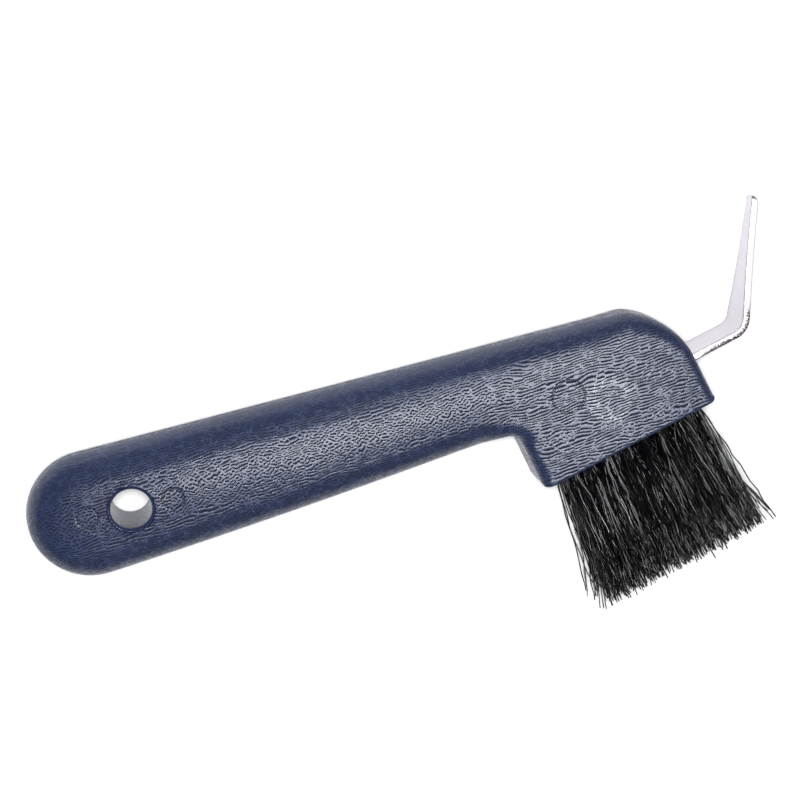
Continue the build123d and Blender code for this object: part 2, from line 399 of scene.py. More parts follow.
used = np.unique(tris)
remap = np.full(len(co), -1)
remap[used] = np.arange(len(used))
co, p_half, p_dist = co[used], p_half[used], p_dist[used]
tris = remap[tris]
loop_out, loop_hole = remap[loop_out], remap[loop_hole]
assert (loop_out >= 0).all() and (loop_hole >= 0).all()
n_side = len(co)
verts = [np.column_stack([co, p_half]), np.column_stack([co, -p_half])]
faces = [tuple(t) for t in tris.tolist()] + [tuple(t) for t in (tris[:, ::-1] + n_side).tolist()]
count = 2 * n_side


def add(v):
    """Adds vertices and returns their numbers."""
    global count
    v = np.atleast_2d(v)
    verts.append(v)
    ids = np.arange(count, count + len(v))
    count += len(v)
    return ids


def strip(a, b, closed=False):
    """Quads between two rows of vertex numbers; outside is on the right of a's direction, b below a."""
    n = len(a)
    for i in range(n if closed else n - 1):
        j = (i + 1) % n
        faces.append((int(a[i]), int(b[i]), int(b[j]), int(a[j])))


# wall of the outline: rows from the upper edge to the lower edge, parting line on the middle row
ROWS = 13
half_out = p_half[loop_out]
rows = [loop_out]
normal_out = -inward
for k_ in range(1, ROWS - 1):
    f = 1 - 2 * k_ / (ROWS - 1)
    push = 0.06 if k_ == (ROWS - 1) // 2 else 0.0
    rows.append(add(np.column_stack([out + push * normal_out, half_out * f])))
rows.append(loop_out + n_side)
on_brush = np.where(tag_out == "brush")[0]
i0, i1 = on_brush[0], on_brush[-1]
brush_cols = set(range(i0, i1))
for a, b in zip(rows[:-1], rows[1:]):
    for i in range(N_OUT):
        if i in brush_cols:
            continue
        j = (i + 1) % N_OUT
        faces.append((int(a[i]), int(b[i]), int(b[j]), int(a[j])))

# ------------------------------------------------------------------ brush face with its tuft holes
T_R, T_DEPTH, ROW_P, T_PITCH, T_FIRST = 1.8, 8.0, 5.2, 5.4, 8.0
T_LEN, TIP_P, TIP_FIRST, TIP_ROW, TIP_A, TIP_B = 38.6, 6.62, 4.3, 5.75, 3.24, 2.82
tuft_list = []
for name, n_t, off, side in (("front", 8, 0.0, 1), ("middle", 7, 0.5, 0), ("back", 8, 0.0, -1)):
    for i in range(n_t):
        tuft_list.append((f"tuft_{name}_{i + 1}", T_FIRST + (i + off) * T_PITCH, side * ROW_P,
                          TIP_FIRST + (i + off) * TIP_P, side * TIP_ROW))


def face_uv(p):
    q = p - FACE
    return q @ np.array([CA, SA])


u_edge = face_uv(out[i0 : i1 + 1])
top_ids = rows[0][i0 : i1 + 1]
bot_ids = rows[-1][i0 : i1 + 1]
left_ids = np.array([r[i0] for r in rows])
right_ids = np.array([r[i1] for r in rows])
loop_ids = np.concatenate([top_ids, right_ids[1:-1], bot_ids[::-1], left_ids[1:-1][::-1]])
allv = np.vstack(verts)
patch = [(float(face_uv(allv[i, :2])), float(allv[i, 2])) for i in loop_ids]
n_loop = len(patch)
patch_edges = [(i, (i + 1) % n_loop) for i in range(n_loop)]
SEG = 22
ca_ = np.linspace(0, 2 * math.pi, SEG, endpoint=False)
for _, u, z, _, _ in tuft_list:
    s = len(patch)
    patch += [(u + T_R * 1.04 * math.cos(a), z + T_R * 1.04 * math.sin(a)) for a in ca_]
    patch_edges += [(s + i, s + (i + 1) % SEG) for i in range(SEG)]
pco, _, ptris, porig, _, _ = delaunay_2d_cdt([Vector(p) for p in patch], patch_edges, [], 1, 1e-6)
ids = np.full(len(pco), -1)
for vi, s in enumerate(porig):
    for o in s:
        if o < n_loop:
            ids[vi] = loop_ids[o]
mine = [vi for vi in range(len(pco)) if ids[vi] < 0]
ids[mine] = add(np.array([[*on_face(pco[vi].x, 0.0), pco[vi].y] for vi in mine]))
circle_of = {vi: (o - n_loop) // SEG for vi, s_ in enumerate(porig) for o in s_ if o >= n_loop}
for t in ptris:
    ring_no = {circle_of.get(v, -1) for v in t}
    if len(ring_no) == 1 and -1 not in ring_no:
        continue  # inside a tuft hole
    a, b, c_ = (pco[v] for v in t)
    area = (b.x - a.x) * (c_.y - a.y) - (c_.x - a.x) * (b.y - a.y)
    # out of the face is -Y-like: seen from outside u runs right and z runs up, so area > 0 is outward
    t = list(t) if area > 0 else list(t)[::-1]
    faces.append(tuple(int(ids[v]) for v in t))
vert_of = {o: vi for vi, s in enumerate(porig) for o in s}
for ti, (_, u, z, _, _) in enumerate(tuft_list):
    prev = np.array([ids[vert_of[n_loop + ti * SEG + i]] for i in range(SEG)])
    for rad, dep in ((T_R, -0.12), (T_R, -2.0), (T_R, -4.0), (T_R, -T_DEPTH)):
        cur = add(np.array([[*on_face(u + rad * math.cos(a), dep), z + rad * math.sin(a)] for a in ca_]))
        for i in range(SEG):
            j = (i + 1) % SEG
            faces.append((int(prev[i]), int(prev[j]), int(cur[j]), int(cur[i])))
        prev = cur
    faces.append(tuple(int(v) for v in prev))

# ------------------------------------------------------------------ hang hole: lip and wall
rim_h = p_half[loop_hole]
prev = loop_hole
for k_ in range(1, 6):
    t = k_ / 5 * math.pi / 2
    rad = HANG_R + LIP * (1 - math.sin(t))
    row = add(np.column_stack([np.cos(ha) * rad, np.sin(ha) * rad, rim_h - LIP * (1 - math.cos(t))]))
    strip(prev, row, True)
    prev = row
NW = 12
for k_ in range(1, NW):
    f = 1 - 2 * k_ / NW
    row = add(np.column_stack([np.cos(ha) * HANG_R, np.sin(ha) * HANG_R, (rim_h - LIP) * f]))
    strip(prev, row, True)
    prev = row
for k_ in range(5, 0, -1):
    t = k_ / 5 * math.pi / 2
    rad = HANG_R + LIP * (1 - math.sin(t))
    row = add(np.column_stack([np.cos(ha) * rad, np.sin(ha) * rad, -(rim_h - LIP * (1 - math.cos(t)))]))
    strip(prev, row, True)
    prev = row
strip(prev, loop_hole + n_side, True)

V = np.vstack(verts)
handle = new_object("handle_shell", V, faces)

# ------------------------------------------------------------------ grain cut into the surface
me = handle.data
nrm = np.zeros(len(V) * 3, np.float32)
me.vertex_normals.foreach_get("vector", nrm)
nrm = nrm.reshape(-1, 3)
x, y, z = V.T
yc = 0.5 * ((back_start[1] + (x - back_start[0]) * math.tan(TS)) + belly_y(np.clip(x, -10, 112)))
w_ = y + np.clip((y - yc) / 3.0, -1, 1) * (HALF - np.abs(z))
w_ = np.where((x > 100) & (y < -8), y - 0.0 * z, w_)
# The grain is a band of waves of one width. Waves that nearly line up give long parallel lines with
# forks in them, and waves that fan out give the short worm-like marks in the middle of the grip.
# The shader adds up the same waves, so its lines fall on the ones cut here.
r_w = np.random.default_rng(4471)


def wave_set(n, pitch, vary, fan):
    turn_ = np.radians(fan * np.clip(np.linspace(-1.25, 1.25, n) + r_w.normal(0, 0.15, n), -1.5, 1.5))
    k_ = 2 * math.pi / (pitch * (1 + r_w.normal(0, vary, n)))
    return np.column_stack([k_ * np.sin(turn_), k_ * np.cos(turn_), r_w.uniform(0, 2 * math.pi, n)])


LONG = wave_set(10, 0.86, 0.13, 9.0)
WORM = wave_set(10, 0.86, 0.15, 36.0)
sway = 1.3 * (noise3(np.column_stack([x / 9.0, y / 4.0, z / 4.0]), 3) - 0.5) + 0.7 * (noise3(np.column_stack([x / 4.0, y / 2.0, z / 2.0]), 5) - 0.5)
guv = np.column_stack([x, w_ + sway, np.ones(len(x))])


def wave_sum(waves):
    return np.cos(guv @ waves.T).sum(1) * math.sqrt(2 / len(waves))


middle = np.exp(-(((y - yc) / 5.0) ** 2)) * (1 - smooth(88, 102, x)) * (np.abs(z) > 6)
worm = np.clip(0.05 + 0.6 * middle + 0.32 * smooth(0.45, 0.75, noise3(np.column_stack([x / 7.0 + 3, y / 4.0, z / 4.0]), 19)), 0, 1)
field = wave_sum(LONG) * (1 - worm) + wave_sum(WORM) * worm
field /= np.sqrt(worm**2 + (1 - worm) ** 2)
groove = (1 - smooth(-1.1, -0.1, field)) * (1 - 0.5 * worm)
gap = np.full(len(x), 1.0)
# smooth where the mould is: hole wall, brush face and tuft holes; the discs left by the ejector pins are sunk in as
# shallow relief
mask = np.ones(len(V))
rr_h = np.hypot(x, y)
mask *= np.where(rr_h < 9, smooth(5.55, 5.95, rr_h), 1)
face_n = (np.column_stack([x, y]) - FACE) @ np.array([SA, -CA])
face_u = (np.column_stack([x, y]) - FACE) @ np.array([CA, SA])
on_face_mask = (face_u > -0.5) & (face_u < FACE_LEN + 0.5)
mask *= np.where(on_face_mask & (face_n > -0.25) & (np.abs(z) < 8.4), 0.0, 1.0)
near_tuft = np.zeros(len(V), bool)
for _, u, zz, _, _ in tuft_list:
    near_tuft |= (np.hypot(face_u - u, z - zz) < T_R * 1.1) & (face_n > -8.4)
mask[near_tuft] = 0
discs = [(10.9, -0.4, 2.7, 1), (-11.3, 1.4, 2.7, 1), (117.0, -5.8, 4.4, 1)]
relief = np.zeros(len(V))
for cx, cy, cr_, sgn in discs:
    rd = np.hypot(x - cx, y - cy)
    hit = np.sign(z) == sgn
    relief += np.where(hit, -0.06 * (1 - smooth(cr_ - 0.35, cr_ + 0.1, rd)) - 0.05 * np.exp(-(((rd - cr_) / 0.25) ** 2)), 0)
# the grain is shallower where the shell turns down into its rounded edges
fade = 0.45 + 0.55 * smooth(0.3, 0.85, np.abs(nrm[:, 2]))
mask *= fade
swell = 0.05 * (noise3(np.column_stack([x / 11.0, y / 6.0, z / 6.0]), 17) - 0.5)
DEPTH = 0.065
height = (-DEPTH * groove + swell) * mask + relief
V2 = V + nrm * height[:, None]
me.vertices.foreach_set("co", to_m(V2).ravel())
me.update()
at = me.attributes.new("grain_uv", "FLOAT_VECTOR", "POINT")
at.data.foreach_set("vector", guv.astype(np.float32).ravel())
for nm, val in (("grain_worm", worm), ("grain_gap", gap * mask)):
    at = me.attributes.new(nm, "FLOAT", "POINT")
    at.data.foreach_set("value", val.astype(np.float32))
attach(handle, "root")
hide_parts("handle")

# ------------------------------------------------------------------ hook: bent strip with sheared edges
STRIP_T, STRIP_W, BEND, BEND_R = 2.0, 12.2, math.radians(59.4), 4.0
SHANK = np.array([161.2, -4.1])
SHANK_TO_BEND, TANG_IN, BLADE, TIP_W, MID_W, TIP_CH = 6.6, 43.0, 35.0, 4.2, 7.0, 0.8
s_dir = np.array([CA, SA])
b_dir = np.array([math.cos(BR + BEND), math.sin(BR + BEND)])
corner = SHANK + SHANK_TO_BEND * s_dir
tl = BEND_R * math.tan(BEND / 2)
# centre line of the strip, half a thickness outside the inner face
s_out = np.array([SA, -CA])
b_out = np.array([b_dir[1], -b_dir[0]])
path, nor, wid = [], [], []
tang0 = SHANK - TANG_IN * s_dir


def width_at(s):
    """Width of the blade at s from the bend's inner corner."""
    (x0, y0), (x1, y1), (x2, y2) = (3.0, STRIP_W / 2), (BLADE / 2, MID_W / 2), (BLADE - TIP_CH, TIP_W / 2)
    A = np.array([[2 * (x1 - x0), 2 * (y1 - y0)], [2 * (x2 - x0), 2 * (y2 - y0)]])
    bb = np.array([x1**2 - x0**2 + y1**2 - y0**2, x2**2 - x0**2 + y2**2 - y0**2])
    cx, cy = np.linalg.solve(A, bb)
    R = math.hypot(x0 - cx, y0 - cy)
    if s <= 3.0:
        return STRIP_W
    if s >= BLADE - TIP_CH:
        return TIP_W - 2 * (s - BLADE + TIP_CH)
    return 2 * (cy - math.copysign(math.sqrt(R * R - (s - cx) ** 2), cy - y0))


shank_len = TANG_IN + SHANK_TO_BEND - tl
for s in np.concatenate([[0.0], np.linspace(8, shank_len, 44)]):
    path.append(tang0 + s * s_dir)
    nor.append(s_out)
    wid.append(STRIP_W)
c_in = corner - tl * s_dir - BEND_R * s_out
for a in np.linspace(0, BEND, 17)[1:-1]:
    o = np.array([math.cos(a) * s_out[0] - math.sin(a) * s_out[1], math.sin(a) * s_out[0] + math.cos(a) * s_out[1]])
    path.append(c_in + BEND_R * o)
    nor.append(o)
    wid.append(STRIP_W)
for s in np.concatenate([np.linspace(tl, BLADE - TIP_CH, 58), np.linspace(BLADE - TIP_CH, BLADE - 0.12, 5)[1:]]):
    path.append(corner + s * b_dir)
    nor.append(b_out)
    wid.append(width_at(s))
path, nor, wid = np.array(path), np.array(nor), np.array(wid)
blade_s = np.concatenate([[0], np.cumsum(np.linalg.norm(np.diff(path, axis=0), axis=1))])


def strip_section(w, t, r_in, r_out, across=10):
    """Section of a sheared strip: rolled-over edge on one face, sharper on the other."""
    pts = []
    hw = w / 2

    def corner_arc(cx, cy, r, a0, a1, n=4):
        for a in np.linspace(a0, a1, n):
            pts.append((cx + r * math.cos(a), cy + r * math.sin(a)))

    corner_arc(hw - r_out, t - r_out, r_out, 0, math.pi / 2)
    for f in np.linspace(1, -1, across)[1:-1]:
        pts.append((f * (hw - r_out), t))
    corner_arc(-hw + r_out, t - r_out, r_out, math.pi / 2, math.pi)
    corner_arc(-hw + r_in, r_in, r_in, math.pi, 1.5 * math.pi)
    for f in np.linspace(-1, 1, across)[1:-1]:
        pts.append((f * (hw - r_in), 0))
    corner_arc(hw - r_in, r_in, r_in, 1.5 * math.pi, 2 * math.pi)
    return np.array(pts)


bend_end = blade_s[45 + 15]
burr_s = smooth(TANG_IN - 8, TANG_IN - 4, blade_s) * (1 - smooth(bend_end + 1, bend_end + 6, blade_s))
hv, hf = [], []
n_sec = None
for i in range(len(path)):
    sec = strip_section(wid[i], STRIP_T, 0.16, 0.42 + 0.38 * burr_s[i])
    taper = 1.0
    remaining = blade_s[-1] - blade_s[i]
    if remaining < 1.4:  # short ground bevel on the outer face at the tip
        taper = 0.55 + 0.45 * (remaining / 1.4)
    sec[:, 1] *= taper
    n_sec = len(sec)
    for a, b in sec:
        p = path[i] + nor[i] * b
        hv.append((p[0], p[1], a))
hv = np.array(hv)
for i in range(len(path) - 1):
    for j in range(n_sec):
        k_ = (j + 1) % n_sec
        hf.append((i * n_sec + j, i * n_sec + k_, (i + 1) * n_sec + k_, (i + 1) * n_sec + j))
hf.append(tuple(range(n_sec))[::-1])
last = (len(path) - 1) * n_sec
hf.append(tuple(last + j for j in range(n_sec)))
# faint unevenness of rolled, bent and plated strip; rougher outside the bend
hn = noise3(np.column_stack([hv[:, 0] / 4, hv[:, 1] / 4, hv[:, 2] / 3]), 23) - 0.5
hv2 = hv.copy()
hook = new_object("hook_strip", hv2, hf)
hm = hook.data
hnrm = np.zeros(len(hv) * 3, np.float32)
hm.vertex_normals.foreach_get("vector", hnrm)
hnrm = hnrm.reshape(-1, 3)
hv2 = hv + hnrm * (0.05 * hn)[:, None]
hm.vertices.foreach_set("co", to_m(hv2).ravel())
hm.update()
# burr on the outer edges near the bend: the edge there is rougher and more rounded, and its near-black colour is
# painted shade
burr_and_edge_shade = np.zeros((len(path), n_sec))
burr_and_edge_shade[:, 0:4] = burr_and_edge_shade[:, 12:16] = burr_s[:, None]
burr_and_edge_shade[:, 16:20] = burr_and_edge_shade[:, 28:32] = 0.4  # painted shade: a thin dark line along the inner edges
at = hm.attributes.new("burr_and_edge_shade", "FLOAT", "POINT")
at.data.foreach_set("value", burr_and_edge_shade.ravel().astype(np.float32))
hm.set_sharp_from_angle(angle=math.radians(38))
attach(hook, "root")
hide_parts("hook")

# ------------------------------------------------------------------ bristles
FIL_R, SIDES, RINGS = 0.18, 6, 24
TIE = np.array([[math.cos(2 * math.pi * k_ / SIDES), math.sin(2 * math.pi * k_ / SIDES)] for k_ in range(SIDES)])
face_x = np.array([CA, SA, 0.0])
face_o = np.array([SA, -CA, 0.0])
face_z = np.array([0.0, 0.0, 1.0])
tuft_objects = []
for ti, (name, u0, z0, u1, z1) in enumerate(tuft_list):
    r_ = np.random.default_rng(900 + ti)
    n_f = 58
    ang = r_.uniform(0, 2 * math.pi, n_f)
    rad = np.sqrt(r_.uniform(0, 1, n_f))
    tv, tf, painted_highlight_and_gloss = [], [], []
    for k_ in range(n_f):
        ru, rz = rad[k_] * math.cos(ang[k_]), rad[k_] * math.sin(ang[k_])
        root = np.array([u0 + ru * 1.6, z0 + rz * 1.6])
        u_tip = TIP_FIRST + 1.2 + (u1 - TIP_FIRST) * 0.9
        tip = np.array([u_tip + ru * 2.2 + r_.normal(0, 2.0) + (r_.random() < 0.06) * r_.normal(0, 4.0), z1 + rz * 2.6 + r_.normal(0, 1.5)])
        length = T_LEN + r_.normal(-0.5, 0.6) - 1.0 * (r_.random() < 0.15) * r_.uniform(0.5, 3.5)
        tip[0] = np.clip(tip[0], 2.4 + r_.normal(0, 0.4), 49.6 + r_.normal(0, 0.4))
        if k_ < 3 and u0 < T_FIRST + 0.6 * T_PITCH:  # a few that have splayed out at each end
            tip[0] = r_.uniform(-3.2, 1.2)
        if k_ < 4 and u0 > T_FIRST + 6.3 * T_PITCH:
            tip[0] = r_.uniform(50.5, 54.2)
        edge_z = 8.6 - abs(r_.normal(0, 0.8))
        tip[1] = np.clip(tip[1], -edge_z, edge_z)
        s = np.linspace(0, 1, RINGS)
        n_ax = -3.0 + (length + 3.0) * s
        out_s = np.clip(n_ax / length, 0, 1)
        # fans out of the hole: leaves nearly square, then leans
        lean = out_s**1.05
        uu = root[0] + (tip[0] - root[0]) * lean
        zz = root[1] + (tip[1] - root[1]) * lean
        lam = r_.uniform(8.0, 15.0)
        amp = r_.uniform(0.06, 0.26)
        ph = r_.uniform(0, 2 * math.pi)
        pl = r_.normal(0, 0.18)
        grow = smooth(0.0, 6.0, n_ax)
        wave = amp * (np.sin(2 * math.pi * n_ax / lam + ph) + 0.4 * np.sin(2 * math.pi * n_ax / (lam * 0.62) + 2.1 * ph)) * grow
        bow = r_.normal(0, 0.8) * np.sin(math.pi * out_s)
        bow2 = r_.normal(0, 0.5) * np.sin(2 * math.pi * out_s)
        # a tuft flares as soon as it is out of its hole
        flare = (1 - np.exp(-np.clip(n_ax, 0, 99) / 3.5)) * (1 - out_s) * r_.uniform(-1.7, 1.7)
        uu = uu + wave * math.cos(pl) + bow + flare
        zz = zz + wave * math.sin(pl) + bow2 * 0.6
        zz = np.clip(zz, -8.75, 8.75)
        P = (np.array([FACE[0], FACE[1], 0.0]) + uu[:, None] * face_x + n_ax[:, None] * face_o + zz[:, None] * face_z)
        T = np.gradient(P, axis=0)
        T /= np.linalg.norm(T, axis=1)[:, None]
        A_ = np.cross(T, face_z + 0 * T)
        A_ /= np.linalg.norm(A_, axis=1)[:, None]
        B_ = np.cross(T, A_)
        # about one strand in nine is a thin pale one; its pale colour, fading out past mid length, is a painted
        # highlight
        pale = r_.random() < 0.11
        fr = 0.12 if pale else FIL_R * r_.uniform(0.80, 1.08)
        painted_highlight_and_gloss.append(np.repeat((1 - smooth(0.45, 0.95, s)) * 1.0 if pale else 0 * s + r_.uniform(0.0, 0.3), SIDES))
        base = len(tv) * 0 + sum(len(q) for q in tv)
        ringv = P[:, None, :] + fr * (TIE[None, :, :1] * A_[:, None, :] + TIE[None, :, 1:] * B_[:, None, :])
        tv.append(ringv.reshape(-1, 3))
        for i in range(RINGS - 1):
            for j in range(SIDES):
                j2 = (j + 1) % SIDES
                a = base + i * SIDES
                tf.append((a + j, a + j2, a + SIDES + j2, a + SIDES + j))
        tf.append(tuple(base + j for j in range(SIDES))[::-1])
        e = base + (RINGS - 1) * SIDES
        tf.append(tuple(e + j for j in range(SIDES)))
    o = new_object(name + "_bristles", np.vstack(tv), tf)
    at = o.data.attributes.new("painted_highlight_and_gloss", "FLOAT", "POINT")
    at.data.foreach_set("value", np.concatenate(painted_highlight_and_gloss).astype(np.float32))
    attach(o, "root")
    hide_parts(name)
    tuft_objects.append(o)

# ------------------------------------------------------------------ materials


def material(name):
    mat = bpy.data.materials.new(name)
    mat.use_nodes = True
    nt = mat.node_tree
    return mat, nt, nt.nodes["Principled BSDF"]


def node(nt, kind, **values):
    n = nt.nodes.new(kind)
    for k_, v in values.items():
        setattr(n, k_, v)
    return n


def ramp(nt, fac, stops):
    n = node(nt, "ShaderNodeValToRGB")
    while len(n.color_ramp.elements) < len(stops):
        n.color_ramp.elements.new(0.5)
    for e, (pos, col) in zip(n.color_ramp.elements, stops):
        e.position = pos
        e.color = (*col, 1) if len(col) == 3 else col
    nt.links.new(fac, n.inputs["Fac"])
    return n.outputs["Color"]


def mix(nt, fac, a, b, blend="MIX"):
    n = node(nt, "ShaderNodeMix", data_type="RGBA", blend_type=blend)
    for sock, v in ((n.inputs[0], fac), (n.inputs[6], a), (n.inputs[7], b)):
        if hasattr(v, "links") or isinstance(v, bpy.types.NodeSocket):
            nt.links.new(v, sock)
        elif isinstance(v, (int, float)):
            sock.default_value = v
        else:
            sock.default_value = (*v, 1)
    return n.outputs[2]


def maths(nt, op, a, b=None, clamp=False):
    n = node(nt, "ShaderNodeMath", operation=op, use_clamp=clamp)
    for sock, v in zip(n.inputs, (a,) if b is None else (a, b)):
        if isinstance(v, bpy.types.NodeSocket):
            nt.links.new(v, sock)
        else:
            sock.default_value = v
    return n.outputs[0]


def noise(nt, vec, scale, detail=3.0, rough=0.55, distort=0.0):
    n = node(nt, "ShaderNodeTexNoise")
    n.inputs["Scale"].default_value = scale
    n.inputs["Detail"].default_value = detail
    n.inputs["Roughness"].default_value = rough
    n.inputs["Distortion"].default_value = distort
    nt.links.new(vec, n.inputs["Vector"])
    return n.outputs["Fac"]


def coords(nt, scale=(1, 1, 1), rotate=(0, 0, 0)):
    tc = node(nt, "ShaderNodeTexCoord")
    mp = node(nt, "ShaderNodeMapping")
    mp.inputs["Scale"].default_value = scale
    mp.inputs["Rotation"].default_value = rotate
    nt.links.new(tc.outputs["Object"], mp.inputs["Vector"])
    return mp.outputs["Vector"]


# navy plastic
mat, nt, bs = material("navy_plastic")
def attribute(nt, name):
    return node(nt, "ShaderNodeAttribute", attribute_name=name).outputs["Fac"]


def step_between(nt, value, lo, hi, to_lo=0.0, to_hi=1.0):
    n = node(nt, "ShaderNodeMapRange", interpolation_type="SMOOTHSTEP")
    nt.links.new(value, n.inputs["Value"])
    for k_, v in (("From Min", lo), ("From Max", hi), ("To Min", to_lo), ("To Max", to_hi)):
        n.inputs[k_].default_value = v
    return n.outputs["Result"]


# the same lines that the mesh is cut with, sharper than its points can hold
guv_n = node(nt, "ShaderNodeAttribute", attribute_name="grain_uv").outputs["Vector"]


def wave_nodes(waves):
    total_ = None
    for w in waves:
        dot = node(nt, "ShaderNodeVectorMath", operation="DOT_PRODUCT")
        nt.links.new(guv_n, dot.inputs[0])
        dot.inputs[1].default_value = tuple(w)
        c = maths(nt, "COSINE", dot.outputs["Value"])
        total_ = c if total_ is None else maths(nt, "ADD", total_, c)
    return maths(nt, "MULTIPLY", total_, math.sqrt(2 / len(waves)))


worm_f = attribute(nt, "grain_worm")
long_s, worm_s = wave_nodes(LONG), wave_nodes(WORM)
part_l = maths(nt, "MULTIPLY", long_s, maths(nt, "SUBTRACT", 1.0, worm_f))
part_w = maths(nt, "MULTIPLY", worm_s, worm_f)
field_n = maths(nt, "ADD", part_l, part_w)
wob = noise(nt, coords(nt, (1500, 2200, 2200)), 1.0, 2.0, 0.5)
field_n = maths(nt, "ADD", field_n, maths(nt, "MULTIPLY", maths(nt, "SUBTRACT", wob, 0.5), 1.6))
cut_ = step_between(nt, field_n, -0.72, -0.16, 1.0, 0.0)
groove_f = maths(nt, "MULTIPLY", cut_, attribute(nt, "grain_gap"), True)
# thin round outlines that the mould's pins leave, on the upper side
flat_xy = node(nt, "ShaderNodeMapping")
flat_xy.inputs["Scale"].default_value = (1, 1, 0)
tc = node(nt, "ShaderNodeTexCoord")
nt.links.new(tc.outputs["Object"], flat_xy.inputs["Vector"])
split = node(nt, "ShaderNodeSeparateXYZ")
nt.links.new(tc.outputs["Object"], split.inputs["Vector"])
upper = step_between(nt, split.outputs["Z"], MID / 1e3, (MID + 1) / 1e3)
disc_f = None
for cx, cy, cr_, weight_ in ((10.9, -0.4, 2.7, 1.0), (-11.3, 1.4, 2.7, 0.35), (117.0, -5.8, 4.4, 0.9)):
    ctr = to_m((cx, cy, 0))[0]
    dn = node(nt, "ShaderNodeVectorMath", operation="DISTANCE")
    nt.links.new(flat_xy.outputs["Vector"], dn.inputs[0])
    dn.inputs[1].default_value = (ctr[0], ctr[1], 0)
    off_ = maths(nt, "ABSOLUTE", maths(nt, "SUBTRACT", dn.outputs["Value"], cr_ / 1e3))
    ring_f = maths(nt, "MULTIPLY", step_between(nt, off_, 0.00010, 0.00034, weight_, 0.0), upper)
    disc_f = ring_f if disc_f is None else maths(nt, "MAXIMUM", disc_f, ring_f)
fine_n = noise(nt, coords(nt, (1100, 1500, 1500)), 1.0, 2.0, 0.5)
big_n = noise(nt, coords(nt), 45.0, 3.0, 0.5)
plateau = mix(nt, big_n, (0.016, 0.0255, 0.066), (0.025, 0.036, 0.088))
# painted shade: the grain's grooves and the pins' ring outlines are coloured near black
painted_recess_shade = (0.003, 0.005, 0.013)
col = mix(nt, maths(nt, "MULTIPLY", groove_f, 0.9), plateau, painted_recess_shade)
col = mix(nt, maths(nt, "MULTIPLY", disc_f, 0.7), col, painted_recess_shade)
# a round, pale ring painted on the crests of the grain beside the large disc: a painted highlight, weaker towards +X
ctr = to_m((127.9, -9.7, 0))[0]
dn = node(nt, "ShaderNodeVectorMath", operation="DISTANCE")
nt.links.new(flat_xy.outputs["Vector"], dn.inputs[0])
dn.inputs[1].default_value = (ctr[0], ctr[1], 0)
off_ = maths(nt, "ABSOLUTE", maths(nt, "SUBTRACT", dn.outputs["Value"], 0.0050))
painted_glint = step_between(nt, off_, 0.0006, 0.0022, 1.0, 0.0)
painted_glint = maths(nt, "MAXIMUM", painted_glint, step_between(nt, dn.outputs["Value"], 0.0025, 0.0040, 0.28, 0.0))
painted_glint = maths(nt, "MULTIPLY", painted_glint, step_between(nt, noise(nt, coords(nt), 1900.0, 3.0, 0.6), 0.36, 0.60))
painted_glint = maths(nt, "MULTIPLY", painted_glint, maths(nt, "SUBTRACT", 1.0, groove_f))
painted_glint = maths(nt, "MULTIPLY", painted_glint, step_between(nt, noise(nt, coords(nt), 420.0, 2.0, 0.5), 0.38, 0.58, 0.45, 1.0))
side_ = step_between(nt, split.outputs["X"], ctr[0] - 0.004, ctr[0] + 0.006, 1.0, 0.6)
painted_glint = maths(nt, "MULTIPLY", maths(nt, "MULTIPLY", painted_glint, upper, True), side_)
# the painted highlight ring lightens the base colour here
col = mix(nt, maths(nt, "MULTIPLY", painted_glint, 0.65), col, (0.50, 0.51, 0.55))
nt.links.new(col, bs.inputs["Base Color"])
rough = maths(nt, "ADD", 0.20, maths(nt, "MULTIPLY", groove_f, 0.75))
rough = maths(nt, "ADD", rough, maths(nt, "MULTIPLY", fine_n, 0.14), True)
nt.links.new(rough, bs.inputs["Roughness"])
height_n = maths(nt, "SUBTRACT", maths(nt, "MULTIPLY", fine_n, 0.10), maths(nt, "MAXIMUM", groove_f, disc_f))
bump = node(nt, "ShaderNodeBump")
bump.inputs["Strength"].default_value = 0.9
bump.inputs["Distance"].default_value = 0.00013
nt.links.new(height_n, bump.inputs["Height"])
nt.links.new(bump.outputs["Normal"], bs.inputs["Normal"])
bs.inputs["Specular IOR Level"].default_value = 0.5
handle.data.materials.append(mat)

# bright plated steel
mat_s, nt, bs = material("plated_steel")
bs.inputs["Metallic"].default_value = 1.0
v = coords(nt)
n_big = noise(nt, v, 160.0, 3.0, 0.6)
n_fine = noise(nt, coords(nt, (900, 900, 250)), 1.0, 3.0, 0.6)
steel = mix(nt, n_big, (0.595, 0.56, 0.605), (0.65, 0.62, 0.66))
speck = step_between(nt, noise(nt, v, 2200.0, 3.0, 0.65), 0.38, 0.52)
burr_and_edge_shade_f = maths(nt, "MULTIPLY", attribute(nt, "burr_and_edge_shade"), speck, True)
# painted shade: the burr and the inner edge lines are darkened to near black
steel = mix(nt, burr_and_edge_shade_f, steel, (0.055, 0.05, 0.05))
nt.links.new(steel, bs.inputs["Base Color"])
r_steel = maths(nt, "ADD", 0.22, maths(nt, "MULTIPLY", n_fine, 0.16))
nt.links.new(maths(nt, "ADD", r_steel, maths(nt, "MULTIPLY", burr_and_edge_shade_f, 0.35), True), bs.inputs["Roughness"])
bump = node(nt, "ShaderNodeBump")
bump.inputs["Strength"].default_value = 0.25
bump.inputs["Distance"].default_value = 0.00008
nt.links.new(n_fine, bump.inputs["Height"])
nt.links.new(bump.outputs["Normal"], bs.inputs["Normal"])
hook.data.materials.append(mat_s)
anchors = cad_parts["tuft_anchors"]
anchors.data.materials.clear()
anchors.data.materials.append(mat_s)

# black bristle
mat_b, nt, bs = material("black_bristle")
bn_ = noise(nt, coords(nt), 900.0, 2.0, 0.5)
painted_highlight_and_gloss_f = attribute(nt, "painted_highlight_and_gloss")
dull = mix(nt, bn_, (0.001, 0.001, 0.0014), (0.0022, 0.0022, 0.0032))
